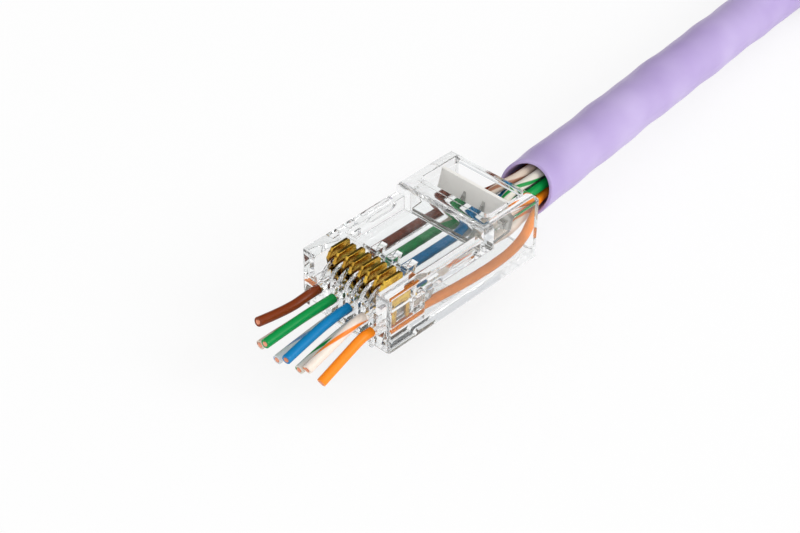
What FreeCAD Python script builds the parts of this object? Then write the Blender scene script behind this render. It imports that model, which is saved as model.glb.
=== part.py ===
"""Pass-through 8P8C modular plug on a network cable, before crimping.

The row frame: the origin is the middle of the nose face at the underside of
the body, +Y runs back along the plug towards the cable, +Z is the side with
the gold contacts and +X is the side of contact 1. All sizes are millimetres.
"""
import FreeCAD, Part
import math
import os

Vector = FreeCAD.Vector

# ---- Driving dimensions: plug body ------------------------------------------
plug_length = 21.46
plug_width = 11.68
front_height = 6.60
hood_height = 8.00
hood_start = 13.30
contact_count = 8
contact_pitch = 1.02
nose_edge_round = 0.45
body_edge_round = 0.35
hood_edge_round = 0.90

# ---- Comb of the eight contact slots ----------------------------------------
comb_well_floor = 4.30
comb_length = 4.55
rib_thickness = 0.45
rib_height = 6.45
rib_nose_rise = 1.50
rib_nose_round = 0.20

# ---- Contacts ----------------------------------------------------------------
contact_thickness = 0.33
contact_side_gap = 0.02
contact_front = 1.05
contact_rear = 4.30
contact_top = 7.00
# Front edge of a blade: distance back from its front, and distance below its top.
contact_curl = ((0.0, 0.95), (0.18, 0.70), (0.30, 0.38), (0.50, 0.30), (0.66, 0.0))
contact_stagger = 0.20
blade_foot = 4.45
tine_width = 0.52
tine_gap = 0.10

# ---- Conductors ----------------------------------------------------------------
insulation_diameter = 1.00
core_diameter = 0.55
core_stub_length = 1.60
core_proud = 0.06
conductor_straight_lead = 1.10
bore_clearance = 0.03
upper_row_height = 3.00
lower_row_height = 1.80
bore_length = 5.40

# ---- Conductor guides, wire chamber and roof pocket ------------------------------
chamber_half_width = 4.75
chamber_floor = 1.00
chamber_roof = 4.40
chamber_corner = 0.50
guide_end = 8.30
guide_rib_width = 0.80
guide_split_height = 2.40
pocket_floor = 5.00
pocket_half_width = 4.70
pocket_slope_start = 4.80
pocket_start = 6.50
pocket_corner = 0.35

# ---- Hood with its window and strain-relief flap ---------------------------------
hood_wall_end = 15.30
hood_roof = 7.00
window_end = 20.90
window_half_width = 4.50
flap_half_width = 4.40
flap_foot = 4.45
flap_hinge_thickness = 0.40
flap_web_front = 17.70
flap_web_thickness = 0.55
flap_top = 7.60
flap_lean = 0.60
flap_tooth = 0.35
flap_tooth_places = (-0.9, 1.6, 3.9)

# ---- Side details -------------------------------------------------------------------
side_notch_depth = 0.50
side_notch_length = 1.30
side_notch_height = 0.70
side_notch_centres = ((4.45, 5.25), (6.75, 5.25))
tapered_recess_depth = 0.30
tapered_recess = ((8.30, 5.80), (9.10, 6.25), (11.90, 6.25), (12.60, 5.80), (11.90, 5.35), (9.10, 5.35))

# ---- Latch tab ---------------------------------------------------------------------
tab_hinge_y = 1.75
tab_hinge_z = -0.62
tab_barrel_radius = 0.52
tab_barrel_gap = 0.03
tab_wide_width = 6.02
tab_narrow_width = 3.25
tab_shoulder = 7.10
tab_tip = 13.90
tab_angle = 15.0
tab_thickness = 1.00
tab_tip_thickness = 0.75
tab_shoulder_round = 0.35
tab_ridge_count = 4
tab_ridge_pitch = 0.75
tab_ridge_height = 0.18
tab_ridge_setback = 0.60
tab_ridge_sink = 0.02
tab_boss_front = 0.30
tab_boss_depth = 1.00
tab_boss_side = 0.25

# ---- Cable --------------------------------------------------------------------------
jacket_diameter = 5.80
jacket_wall = 0.70
mouth_depth = 2.60
cable_length = 500.0
# The cable's spare length is folded into a hank behind the plug: two loops, one on the other,
# drawn together by a tie at the waist.
hank_x = -8.0
hank_near_fold = 104.0
hank_far_fold = 170.0
hank_loops = 2
fold_radius = 17.40
waist_length = 12.0
waist_lift = 0.90
tie_width = 9.0
tie_thickness = 0.80
tie_corner_round = 0.60
eye_reach = 26.0

pin_names = (
    "pin_1_orange",
    "pin_2_white_orange",
    "pin_3_white_green",
    "pin_4_blue",
    "pin_5_white_blue",
    "pin_6_green",
    "pin_7_white_brown",
    "pin_8_brown",
)
# Where each conductor ends in front of the nose, and where it is half way there.
tip_points = {
    "pin_1_orange": ((3.56, -3.40, 0.95), (3.51, -6.75, -0.50)),
    "pin_2_white_orange": ((2.72, -4.00, 2.45), (2.90, -7.98, 1.50)),
    "pin_3_white_green": ((1.66, -4.00, 1.55), (1.95, -8.09, 1.00)),
    "pin_4_blue": ((0.80, -4.60, 2.95), (1.33, -9.15, 2.50)),
    "pin_5_white_blue": ((-0.50, -4.40, 1.60), (-0.38, -8.69, 1.20)),
    "pin_6_green": ((-1.48, -4.60, 3.10), (-1.29, -9.32, 3.00)),
    "pin_7_white_brown": ((-2.66, -4.30, 1.70), (-2.83, -8.53, 1.50)),
    "pin_8_brown": ((-3.62, -4.00, 2.75), (-3.56, -8.02, 3.60)),
}
# How each conductor runs from its bore through the chamber to the mouth of the jacket.
rear_points = {
    "pin_1_orange": ((4.15, 12.5, 1.58), (4.20, 18.0, 1.60), (3.75, 21.2, 1.95), (2.75, 23.6, 2.50)),
    "pin_2_white_orange": ((2.58, 17.4, 2.98), (2.25, 20.4, 2.30), (1.60, 22.9, 2.10)),
    "pin_3_white_green": ((1.50, 17.0, 1.86), (1.38, 20.2, 3.45), (0.75, 22.9, 4.85)),
    "pin_4_blue": ((0.54, 16.6, 3.06), (0.16, 20.2, 4.56), (-0.36, 22.9, 3.28)),
    "pin_5_white_blue": ((-0.50, 17.5, 1.76), (-0.35, 20.4, 1.68), (0.10, 22.9, 1.75)),
    "pin_6_green": ((-1.48, 16.8, 3.06), (0.05, 20.3, 2.90), (1.00, 22.9, 3.40)),
    "pin_7_white_brown": ((-2.52, 17.0, 1.86), (-1.68, 20.5, 2.90), (-0.92, 22.9, 4.52)),
    "pin_8_brown": ((-3.54, 17.2, 3.05), (-2.72, 20.5, 3.62), (-2.00, 22.9, 3.40)),
}
# Order of the conductors round the inside of the jacket, from the far side over the top.
mouth_order = (
    "pin_8_brown",
    "pin_7_white_brown",
    "pin_3_white_green",
    "pin_6_green",
    "pin_1_orange",
    "pin_2_white_orange",
    "pin_5_white_blue",
    "pin_4_blue",
)
mouth_ring_radius = 1.50
mouth_ring_turn = 25.0
bowed_conductors = ("pin_1_orange",)


# ---- Sizes that follow ------------------------------------------------------------------
half_width = plug_width / 2
comb_half_width = contact_count * contact_pitch / 2
insulation_radius = insulation_diameter / 2
bore_radius = insulation_radius + bore_clearance
jacket_radius = jacket_diameter / 2
tab_slope = math.radians(tab_angle)
last_ridge = tab_tip - tab_ridge_setback
ridge_depth = tab_tip_thickness / 2 + tab_ridge_sink
tab_drop = last_ridge * math.sin(tab_slope) + ridge_depth * math.cos(tab_slope) + tab_ridge_height
surface_height = tab_hinge_z - tab_drop
cable_rest_height = surface_height + jacket_radius

hank_middle = (hank_near_fold + hank_far_fold) / 2
waist_near_end = hank_middle - waist_length / 2
waist_bottom = surface_height + waist_lift

# Centre line of the cable, from its cut end behind the plug to the waist of the hank.
cable_route = (
    (0.45, 26.00, 3.55),
    (-3.90, 54.0, 1.25),
    (-8.80, 88.0, cable_rest_height),
    (-9.60, 110.5, cable_rest_height),
    (hank_x - jacket_radius, waist_near_end, waist_bottom + jacket_radius),
)


# ---- Helpers --------------------------------------------------------------------------------
def box(x_low, x_high, y_low, y_high, z_low, z_high):
    """Return a block between two corners."""
    corner = Vector(x_low, y_low, z_low)
    return Part.makeBox(x_high - x_low, y_high - y_low, z_high - z_low, corner)


def side_plate(points, x_low, x_high):
    """Extrude an outline of (y, z) points across the plug from x_low to x_high."""
    outline = [Vector(x_low, y, z) for y, z in points]
    face = Part.Face(Part.makePolygon(outline + outline[:1]))
    return face.extrude(Vector(x_high - x_low, 0, 0))


def rounded_edges(shape, radius, wanted):
    """Round the straight edges whose two end points both pass the test."""
    edges = [edge for edge in shape.Edges if all(wanted(vertex.Point) for vertex in edge.Vertexes)]
    return shape.makeFillet(radius, edges)


def near(value, target):
    """Tell whether two lengths are the same."""
    return abs(value - target) < 1e-4


def pin_place(pin):
    """Return the x and z of a conductor in its bore; odd pins lie in the lower row."""
    x = (contact_count + 1 - 2 * pin) / 2 * contact_pitch
    z = lower_row_height if pin % 2 else upper_row_height
    return x, z


def rounded_path(points):
    """Join straight runs with tangent arcs, and return the wire and its arc radii."""
    spots = [Vector(*point) for point in points]
    edges = []
    radii = []
    start = spots[0]
    for before, corner, after in zip(spots, spots[1:], spots[2:]):
        arriving = (corner - before).normalize()
        leaving = (after - corner).normalize()
        turn = arriving.getAngle(leaving)
        reach = 0.45 * min((corner - before).Length, (after - corner).Length)
        radius = reach / math.tan(turn / 2)
        arc_start = corner - arriving * reach
        arc_end = corner + leaving * reach
        inward = (leaving - arriving).normalize()
        middle = corner + inward * (radius / math.cos(turn / 2) - radius)
        edges.append(Part.LineSegment(start, arc_start).toShape())
        edges.append(Part.Arc(arc_start, middle, arc_end).toShape())
        radii.append(radius)
        start = arc_end
    edges.append(Part.LineSegment(start, spots[-1]).toShape())
    return Part.Wire(edges), radii


def round_section(points, radius):
    """Return a circle square to the first run of a path."""
    start = Vector(*points[0])
    return Part.Wire(Part.makeCircle(radius, start, Vector(*points[1]) - start))


def bent_tube(points, radius):
    """Sweep a round section along straight runs and tangent arcs; return it, its path and the arc radii."""
    path, radii = rounded_path(points)
    return path.makePipeShell([round_section(points, radius)], True, False), path, radii


def mitred_rod(points, radius):
    """Sweep a round section along straight runs that meet in mitred corners."""
    path = Part.makePolygon([Vector(*point) for point in points])
    mitred = 1
    return path.makePipeShell([round_section(points, radius)], True, False, mitred)


# ---- Housing ------------------------------------------------------------------------------------
def outer_block():
    """Return the outside of the plug body: a low front and waist, and a taller hood."""
    outline = (
        (0, 0),
        (plug_length, 0),
        (plug_length, hood_height),
        (hood_start, hood_height),
        (hood_start, front_height),
        (0, front_height),
    )
    block = side_plate(outline, -half_width, half_width)

    def on_nose_corner(point):
        return near(abs(point.x), half_width) and near(point.y, 0)

    def on_hood_corner(point):
        return near(abs(point.x), half_width) and near(point.y, hood_start)

    def on_hood_side(point):
        return near(point.z, hood_height) and abs(point.x) > half_width - hood_edge_round

    def on_underside(point):
        return near(point.z, 0)

    block = rounded_edges(block, nose_edge_round, on_nose_corner)
    block = rounded_edges(block, body_edge_round, on_underside)
    block = rounded_edges(block, hood_edge_round, on_hood_side)
    return block


def contact_well():
    """Return the space above the contact slots, between the two shoulders."""
    return box(-comb_half_width, comb_half_width, -1, comb_length, comb_well_floor, front_height + 1)


def contact_rib(x):
    """Return one of the thin walls between two contacts, with its curved nose."""
    low = comb_well_floor - 0.05
    climb = rib_height - comb_well_floor
    radius = (rib_nose_rise ** 2 + climb ** 2) / (2 * rib_nose_rise)
    half_sweep = math.asin(climb / radius) / 2
    rise_start = Vector(x, 0, comb_well_floor)
    rise_middle = Vector(x, radius - radius * math.cos(half_sweep), comb_well_floor + radius * math.sin(half_sweep))
    rise_end = Vector(x, rib_nose_rise, rib_height)
    outline = [
        Part.LineSegment(Vector(x, 0, low), rise_start).toShape(),
        Part.Arc(rise_start, rise_middle, rise_end).toShape(),
        Part.LineSegment(rise_end, Vector(x, comb_length + 0.05, rib_height)).toShape(),
        Part.LineSegment(Vector(x, comb_length + 0.05, rib_height), Vector(x, comb_length + 0.05, low)).toShape(),
        Part.LineSegment(Vector(x, comb_length + 0.05, low), Vector(x, 0, low)).toShape(),
    ]
    face = Part.Face(Part.Wire(outline))
    face.translate(Vector(-rib_thickness / 2, 0, 0))
    return face.extrude(Vector(rib_thickness, 0, 0))


def contact_slot(pin):
    """Return the slot through which the tines of a contact reach its conductor."""
    x, z = pin_place(pin)
    half = contact_thickness / 2 + contact_side_gap
    return box(x - half, x + half, contact_front, contact_rear, z, comb_well_floor + 0.1)


def conductor_bore(pin):
    """Return the round hole that lets a conductor through the nose."""
    x, z = pin_place(pin)
    return Part.makeCylinder(bore_radius, bore_length + 1, Vector(x, -0.5, z), Vector(0, 1, 0))


def wire_chamber():
    """Return the chamber behind the bores: low under the pocket, tall inside the hood."""
    outline = (
        (bore_length, chamber_floor),
        (plug_length + 1, chamber_floor),
        (plug_length + 1, hood_roof),
        (hood_wall_end, hood_roof),
        (hood_wall_end, chamber_roof),
        (bore_length, chamber_roof),
    )
    chamber = side_plate(outline, -chamber_half_width, chamber_half_width)

    def along_side(point):
        return near(abs(point.x), chamber_half_width) and not near(point.z, chamber_roof)

    return rounded_edges(chamber, chamber_corner, along_side)


def guide_ribs():
    """Return the ribs that steer the conductors into their two staggered rows."""
    ribs = []
    for pin in range(1, contact_count + 1):
        x = pin_place(pin)[0]
        low, high = (guide_split_height, chamber_roof + 0.1) if pin % 2 else (chamber_floor - 0.1, guide_split_height)
        half = guide_rib_width / 2
        outline = ((bore_length - 0.1, low), (bore_length - 0.1, high), (guide_end, high), (guide_end, low))
        if pin % 2:
            outline = outline[:2] + ((guide_end, high), (guide_end - 1.2, low))
        else:
            outline = outline[:1] + ((bore_length - 0.1, high), (guide_end - 1.2, high), (guide_end, low))
        ribs.append(side_plate(outline, x - half, x + half))
    return ribs


def roof_pocket():
    """Return the shallow pocket in the top, with a slope down from the comb."""
    outline = (
        (pocket_slope_start, front_height + 0.1),
        (pocket_start, pocket_floor),
        (hood_start, pocket_floor),
        (hood_start, front_height + 0.1),
    )
    return side_plate(outline, -pocket_half_width, pocket_half_width)


def hood_window():
    """Return the opening in the top of the hood, over the strain-relief flap."""
    low = hood_roof - 0.2
    window = box(-window_half_width, window_half_width, hood_wall_end, window_end, low, hood_height + 1)

    edges = [edge for edge in window.Edges if near(abs(edge.tangentAt(0).z), 1)]
    return window.makeFillet(chamber_corner, edges)


def strain_relief_flap():
    """Return the flap that a crimping tool folds down on the jacket: film hinge, web and teeth."""
    web_rear = flap_web_front + flap_web_thickness
    outline = (
        (hood_wall_end - 0.1, flap_foot),
        (web_rear, flap_foot + 0.25),
        (web_rear + flap_lean, flap_top),
        (web_rear + flap_lean - flap_web_thickness * 0.7, flap_top),
        (flap_web_front, flap_foot + 0.25 + flap_hinge_thickness),
        (hood_wall_end - 0.1, flap_foot + flap_hinge_thickness),
    )
    flap = side_plate(outline, -flap_half_width, flap_half_width)
    return flap


def flap_teeth():
    """Return the two ribs on the flap's web and the peg at its near end."""
    teeth = []
    for x in flap_tooth_places:
        outline = (
            (flap_web_front + 0.1, flap_foot + 0.7),
            (flap_web_front + flap_lean * 0.7, flap_foot + 2.2),
            (flap_web_front - flap_tooth, flap_foot + 1.3),
            (flap_web_front - flap_tooth, flap_foot + 0.7),
        )
        teeth.append(side_plate(outline, x - flap_tooth / 2, x + flap_tooth / 2))
    return teeth


def side_recesses():
    """Return the notches and the tapered recess that are sunk into both flanks."""
    recesses = []
    for side in (-1, 1):
        for y, z in side_notch_centres:
            inner, outer = sorted((side * (half_width - side_notch_depth), side * (half_width + 1)))
            low_y, high_y = y - side_notch_length / 2, y + side_notch_length / 2
            low_z, high_z = z - side_notch_height / 2, z + side_notch_height / 2
            recesses.append(box(inner, outer, low_y, high_y, low_z, high_z))
        inner, outer = sorted((side * (half_width - tapered_recess_depth), side * (half_width + 1)))
        recesses.append(side_plate(tapered_recess, inner, outer))
    return recesses


def latch_boss():
    """Return the root of the latch under the nose, hollowed round the latch tab's thin end."""
    rear = tab_hinge_y + tab_barrel_radius * 0.3
    outline = (
        (tab_boss_front, body_edge_round),
        (tab_boss_front + 0.1, -tab_boss_depth * 0.6),
        (tab_boss_front + 0.45, -tab_boss_depth),
        (tab_hinge_y, -tab_boss_depth - 0.1),
        (rear, body_edge_round),
    )
    boss = side_plate(outline, -tab_wide_width / 2, tab_wide_width / 2)
    start = Vector(-tab_wide_width, tab_hinge_y, tab_hinge_z)
    hollow = Part.makeCylinder(tab_barrel_radius + tab_barrel_gap, 2 * tab_wide_width, start, Vector(1, 0, 0))
    return boss.cut(hollow)


def housing():
    """Return the one-piece clear moulding of the plug, without its latch tab."""
    pins = range(1, contact_count + 1)
    rib_places = [(gap - contact_count / 2) * contact_pitch for gap in range(1, contact_count)]
    body = outer_block().cut(contact_well())
    body = body.fuse([contact_rib(x) for x in rib_places] + [latch_boss()])
    body = body.cut([contact_slot(pin) for pin in pins] + [conductor_bore(pin) for pin in pins])
    body = body.cut(wire_chamber().cut(Part.makeCompound(guide_ribs())))
    body = body.cut([roof_pocket(), hood_window()] + side_recesses())
    body = body.fuse([strain_relief_flap()] + flap_teeth())
    return body.removeSplitter().Solids[0]


# ---- Latch tab --------------------------------------------------------------------------------------
def latch_tab():
    """Return the spring tab: a thin root, wide shoulders that catch in a jack, a narrow thumb end."""
    half = tab_thickness / 2
    tip_half = tab_tip_thickness / 2
    profile = (
        (0, -tab_barrel_radius * 0.8),
        (0, tab_barrel_radius * 0.8),
        (tab_shoulder, half),
        (tab_tip, tip_half),
        (tab_tip, -tip_half),
        (tab_shoulder, -half),
    )
    plate = side_plate(profile, -tab_wide_width / 2, tab_wide_width / 2)
    for side in (-1, 1):
        inner, outer = sorted((side * tab_narrow_width / 2, side * tab_wide_width))
        plate = plate.cut(box(inner, outer, tab_shoulder, tab_tip + 1, -2, 2))
    corners = [edge for edge in plate.Edges if near(abs(edge.tangentAt(edge.FirstParameter).z), 1)]
    plate = plate.makeFillet(tab_shoulder_round, corners)
    barrel_start = Vector(-tab_wide_width / 2, 0, 0)
    tab = plate.fuse(Part.makeCylinder(tab_barrel_radius, tab_wide_width, barrel_start, Vector(1, 0, 0)))
    ridges = []
    for index in range(tab_ridge_count):
        y = last_ridge - index * tab_ridge_pitch
        reach = tab_narrow_width / 2 - 0.35
        start = Vector(-reach, y, -ridge_depth)
        ridges.append(Part.makeCylinder(tab_ridge_height, 2 * reach, start, Vector(1, 0, 0)))
    tab = tab.fuse(ridges).removeSplitter()
    tab.rotate(Vector(0, 0, 0), Vector(1, 0, 0), -tab_angle)
    tab.translate(Vector(0, tab_hinge_y, tab_hinge_z))
    return tab.Solids[0]


# ---- Contacts ------------------------------------------------------------------------------------------
def contact(pin):
    """Return one blade contact standing proud of its slot, with its two piercing tines."""
    x, conductor_height = pin_place(pin)
    shift = contact_stagger if pin % 2 == 0 else 0
    front = contact_front + shift
    rear = contact_rear - contact_stagger + shift
    tine_end = conductor_height + insulation_radius + tine_gap
    gap = 0.02
    front += gap
    rear -= gap
    middle = (front + rear) / 2
    outline = tuple((front + back, contact_top - down) for back, down in contact_curl) + (
        (rear - 0.25, contact_top),
        (rear, contact_top - 0.25),
        (rear, blade_foot),
        (rear - 0.35, blade_foot - 0.1),
        (rear - 0.35, tine_end + 0.35),
        (rear - 0.35 - tine_width / 2, tine_end),
        (rear - 0.35 - tine_width, tine_end + 0.35),
        (rear - 0.35 - tine_width, blade_foot),
        (front + 0.35 + tine_width, blade_foot),
        (front + 0.35 + tine_width, tine_end + 0.35),
        (front + 0.35 + tine_width / 2, tine_end),
        (front + 0.35, tine_end + 0.35),
        (front + 0.35, blade_foot - 0.1),
        (front, blade_foot),
    )
    return side_plate(outline, x - contact_thickness / 2, x + contact_thickness / 2)


# ---- Conductors -------------------------------------------------------------------------------------------
def jacket_heading():
    """Return the direction in which the cable leaves the plug."""
    return (Vector(*cable_route[1]) - Vector(*cable_route[0])).normalize()


def mouth_point(name, depth):
    """Return a conductor's place in the ring inside the jacket, a given depth behind its cut end."""
    heading = jacket_heading()
    across = heading.cross(Vector(0, 0, 1)).normalize()
    upward = across.cross(heading)
    step = 2 * math.pi / contact_count
    angle = math.pi - math.radians(mouth_ring_turn) - mouth_order.index(name) * step
    centre = Vector(*cable_route[0]) + heading * depth
    spot = centre + (across * math.cos(angle) + upward * math.sin(angle)) * mouth_ring_radius
    return (spot.x, spot.y, spot.z)


def conductor_route(pin):
    """Return the points of a conductor from its cut tip, through the nose, into the jacket."""
    name = pin_names[pin - 1]
    halfway, tip = tip_points[name]
    x, z = pin_place(pin)
    nose = ((x, -conductor_straight_lead, z),)
    if name in bowed_conductors:
        nose += ((x, bore_length + conductor_straight_lead, z),)
    mouth = (mouth_point(name, 0), mouth_point(name, mouth_depth))
    return (tip, halfway) + nose + rear_points[name] + mouth


def insulated_conductor(pin):
    """Return the insulation of a conductor, bored out at its tip for the end of the copper."""
    route = conductor_route(pin)
    sleeve = mitred_rod(route, insulation_radius)
    return sleeve.cut(copper_core(pin))


def copper_core(pin):
    """Return the copper that shows at a conductor's cut end, standing slightly proud."""
    route = conductor_route(pin)
    tip = Vector(*route[0])
    inward = (Vector(*route[1]) - tip).normalize()
    start = tip - inward * core_proud
    return Part.makeCylinder(core_diameter / 2, core_stub_length + core_proud, start, inward)


# ---- Cable ---------------------------------------------------------------------------------------------------
def cable_jacket():
    """Return the cable from its hollow cut end behind the plug to the waist of its hank."""
    cable, path, radii = bent_tube(cable_route, jacket_radius)
    print("cable bend radii mm:", [round(radius) for radius in radii])
    expected = math.pi * jacket_radius ** 2 * path.Length
    print("cable length mm %.1f, volume ratio %.4f" % (path.Length, cable.Volume / expected))
    print("left for the hank mm %.1f" % (cable_length - path.Length))
    start = Vector(*cable_route[0])
    mouth = Part.makeCylinder(jacket_radius - jacket_wall, mouth_depth, start, jacket_heading())
    return cable.cut(mouth)


def hank_flank(fold, waist_end, side):
    """Return the two equal arcs that lead from the side of a fold in to a corner of the waist."""
    wide = fold_radius + jacket_radius
    inward = (wide - jacket_diameter) / 2
    along = abs(waist_end - fold) / 2
    direction = math.copysign(1, waist_end - fold)
    radius = (inward ** 2 + along ** 2) / (2 * inward)
    half_turn = math.asin(along / radius) / 2
    bulge = radius * (1 - math.cos(half_turn))
    rise = radius * math.sin(half_turn)
    spots = (
        (wide, 0),
        (wide - bulge, rise),
        (wide - inward, along),
        (jacket_diameter + bulge, 2 * along - rise),
        (jacket_diameter, 2 * along),
    )
    points = [
        Vector(hank_x + side * half, fold + direction * shift, surface_height)
        for half, shift in spots
    ]
    return [Part.Arc(*points[:3]).toShape(), Part.Arc(*points[2:]).toShape()]


def fold_arc(fold, direction):
    """Return the outer half circle of a fold, which bulges in a direction along Y."""
    wide = fold_radius + jacket_radius
    ends = [Vector(hank_x + side * wide, fold, surface_height) for side in (1, -1)]
    top = Vector(hank_x, fold + direction * wide, surface_height)
    return Part.Arc(ends[0], top, ends[1]).toShape()


def fold_eye(fold, direction):
    """Return the open space inside a fold: round at the fold and pointed towards the waist."""
    radius = fold_radius - jacket_radius
    height = hank_loops * jacket_diameter
    centre = Vector(hank_x, fold, surface_height)
    touch = math.asin(radius / eye_reach)
    half = radius * math.cos(touch)
    shift = radius * math.sin(touch)
    corners = [
        centre + Vector(half, direction * shift, 0),
        centre + Vector(0, direction * eye_reach, 0),
        centre + Vector(-half, direction * shift, 0),
        centre,
    ]
    wedge = Part.Face(Part.makePolygon(corners + corners[:1])).extrude(Vector(0, 0, height))
    return Part.makeCylinder(radius, height, centre).fuse(wedge)


def cable_hank():
    """Return the outer shape of the hank: two folds, and a waist where its runs lie side by side.

    The first loop lies on the surface. Its near fold climbs over the cable that comes in, so the
    hank's near half is one cable high and lies one cable above the surface.
    """
    height = hank_loops * jacket_diameter
    waist_far_end = hank_middle + waist_length / 2
    edges = []
    for side in (1, -1):
        edges += hank_flank(hank_near_fold, waist_near_end, side)
        edges += hank_flank(hank_far_fold, waist_far_end, side)
        waist_ends = [
            Vector(hank_x + side * jacket_diameter, y, surface_height)
            for y in (waist_near_end, waist_far_end)
        ]
        edges.append(Part.makeLine(*waist_ends))
    edges.append(fold_arc(hank_near_fold, -1))
    edges.append(fold_arc(hank_far_fold, 1))
    outline = Part.Wire(Part.__sortEdges__(edges))
    hank = Part.Face(outline).extrude(Vector(0, 0, height))
    hank = hank.cut(fold_eye(hank_near_fold, 1)).cut(fold_eye(hank_far_fold, -1))
    wide = fold_radius + jacket_radius
    under_near_half = box(
        hank_x - wide, hank_x + wide, hank_near_fold - wide, waist_near_end,
        surface_height, surface_height + jacket_diameter + waist_lift,
    )
    hank = hank.cut(under_near_half)
    waist = (hank_x - jacket_diameter, hank_x + jacket_diameter, waist_near_end, waist_far_end)
    hank = hank.cut(box(*waist, surface_height, waist_bottom))
    return hank.fuse(box(*waist, surface_height + height - waist_lift, waist_bottom + height)).removeSplitter()


def hank_tie():
    """Return the tie: a soft strap that closes round the waist of the hank."""
    near = hank_middle - tie_width / 2
    far = hank_middle + tie_width / 2
    inner = (hank_x - jacket_diameter, hank_x + jacket_diameter, near, far)
    height = hank_loops * jacket_diameter
    outer = box(
        inner[0] - tie_thickness, inner[1] + tie_thickness, near, far,
        waist_bottom - tie_thickness, waist_bottom + height + tie_thickness,
    )
    lengthwise = [edge for edge in outer.Edges if abs(edge.tangentAt(edge.FirstParameter).y) > 0.9]
    strap = outer.makeFillet(tie_corner_round, lengthwise)
    return strap.cut(box(*inner, waist_bottom, waist_bottom + height))


def main():
    """Build every piece and write one STEP file for each."""
    os.makedirs("parts", exist_ok=True)
    pieces = {"housing": housing(), "latch_tab": latch_tab()}
    for pin in range(1, contact_count + 1):
        name = pin_names[pin - 1]
        pieces["contact_%d" % pin] = contact(pin)
        pieces["insulation_" + name] = insulated_conductor(pin)
        pieces["copper_" + name] = copper_core(pin)
    pieces["cable_jacket"] = cable_jacket()
    pieces["cable_hank"] = cable_hank()
    pieces["hank_tie"] = hank_tie()
    for name, piece in pieces.items():
        piece.exportStep("parts/%s.step" % name)
        print(name, round(piece.Volume, 3), "valid" if piece.isValid() else "BROKEN", len(piece.Solids))


main()
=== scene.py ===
"""Finish of a clear pass-through modular plug, not yet crimped, on its lilac network cable.

The housing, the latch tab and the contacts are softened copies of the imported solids. The
conductors and the cable are tubes worked out along smooth routes. All sizes are metres, and
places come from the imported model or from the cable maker's sizes below.
"""
import logging
import math
from dataclasses import dataclass, field
from enum import Enum

import bmesh
import bpy
import numpy as np
from mathutils import Matrix, Vector


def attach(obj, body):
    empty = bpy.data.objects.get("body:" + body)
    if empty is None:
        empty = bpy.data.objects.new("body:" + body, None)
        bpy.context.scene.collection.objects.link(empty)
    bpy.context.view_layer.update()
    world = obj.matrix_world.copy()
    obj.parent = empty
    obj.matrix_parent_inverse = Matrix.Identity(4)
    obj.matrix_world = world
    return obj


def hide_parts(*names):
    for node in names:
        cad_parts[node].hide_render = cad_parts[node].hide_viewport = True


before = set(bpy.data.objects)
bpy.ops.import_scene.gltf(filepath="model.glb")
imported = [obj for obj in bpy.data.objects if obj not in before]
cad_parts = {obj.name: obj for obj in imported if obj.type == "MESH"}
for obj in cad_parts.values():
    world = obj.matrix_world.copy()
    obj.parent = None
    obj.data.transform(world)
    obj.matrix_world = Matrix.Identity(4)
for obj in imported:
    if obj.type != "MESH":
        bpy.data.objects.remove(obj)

LOG = logging.getLogger("modular_plug")
MM = 0.001
Point = tuple[float, float, float]
Shades = tuple[tuple[float, str], ...]


# ---- Shader helpers ---------------------------------------------------------------------------
def linear(hex_colour: str) -> tuple[float, float, float, float]:
    """Turn an sRGB hex colour into the linear RGBA that the shaders take.

    Args:
        hex_colour: six hex digits after a hash sign.

    Returns:
        Red, green, blue and an alpha of 1, all linear.
    """
    values = np.array([int(hex_colour[i:i + 2], 16) for i in (1, 3, 5)]) / 255
    straight = np.where(values <= 0.04045, values / 12.92, ((values + 0.055) / 1.055) ** 2.4)
    return (float(straight[0]), float(straight[1]), float(straight[2]), 1.0)


def add_node(tree: bpy.types.NodeTree, kind: str, settings: dict | None = None,
             inputs: dict | None = None) -> bpy.types.Node:
    """Add one node, with its settings, its socket values and its links.

    Args:
        tree: the node tree that takes the node.
        kind: the node's type name.
        settings: attributes of the node itself.
        inputs: values or output sockets, by the name or the index of the input.

    Returns:
        The new node.
    """
    node = tree.nodes.new(kind)
    for name, value in (settings or {}).items():
        setattr(node, name, value)
    for name, value in (inputs or {}).items():
        if isinstance(value, bpy.types.NodeSocket):
            tree.links.new(value, node.inputs[name])
        else:
            node.inputs[name].default_value = value
    return node


def arithmetic(tree: bpy.types.NodeTree, operation: str,
               *values: float | bpy.types.NodeSocket) -> bpy.types.NodeSocket:
    """Add a maths node, whose inputs take the values in order, and return its result."""
    node = add_node(tree, "ShaderNodeMath", {"operation": operation}, dict(enumerate(values)))
    return node.outputs["Value"]


def mix_shaders(tree: bpy.types.NodeTree, share: float | bpy.types.NodeSocket,
                first: bpy.types.NodeSocket, second: bpy.types.NodeSocket) -> bpy.types.NodeSocket:
    """Add a mix of two shaders, in which the share is the second one's, and return it."""
    node = add_node(tree, "ShaderNodeMixShader", inputs={"Fac": share, 1: first, 2: second})
    return node.outputs["Shader"]


def principled(tree: bpy.types.NodeTree, inputs: dict) -> bpy.types.NodeSocket:
    """Add a principled shader and return it."""
    return add_node(tree, "ShaderNodeBsdfPrincipled", inputs=inputs).outputs["BSDF"]


def set_ramp(node: bpy.types.Node, stops: Shades) -> None:
    """Give a colour ramp its stops.

    Args:
        node: a ShaderNodeValToRGB, which starts with two stops.
        stops: positions and sRGB hex colours, in rising order.
    """
    elements = node.color_ramp.elements
    for element, (position, colour) in zip(elements, stops[:2]):
        element.position = position
        element.color = linear(colour)
    for position, colour in stops[2:]:
        elements.new(position).color = linear(colour)


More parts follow.
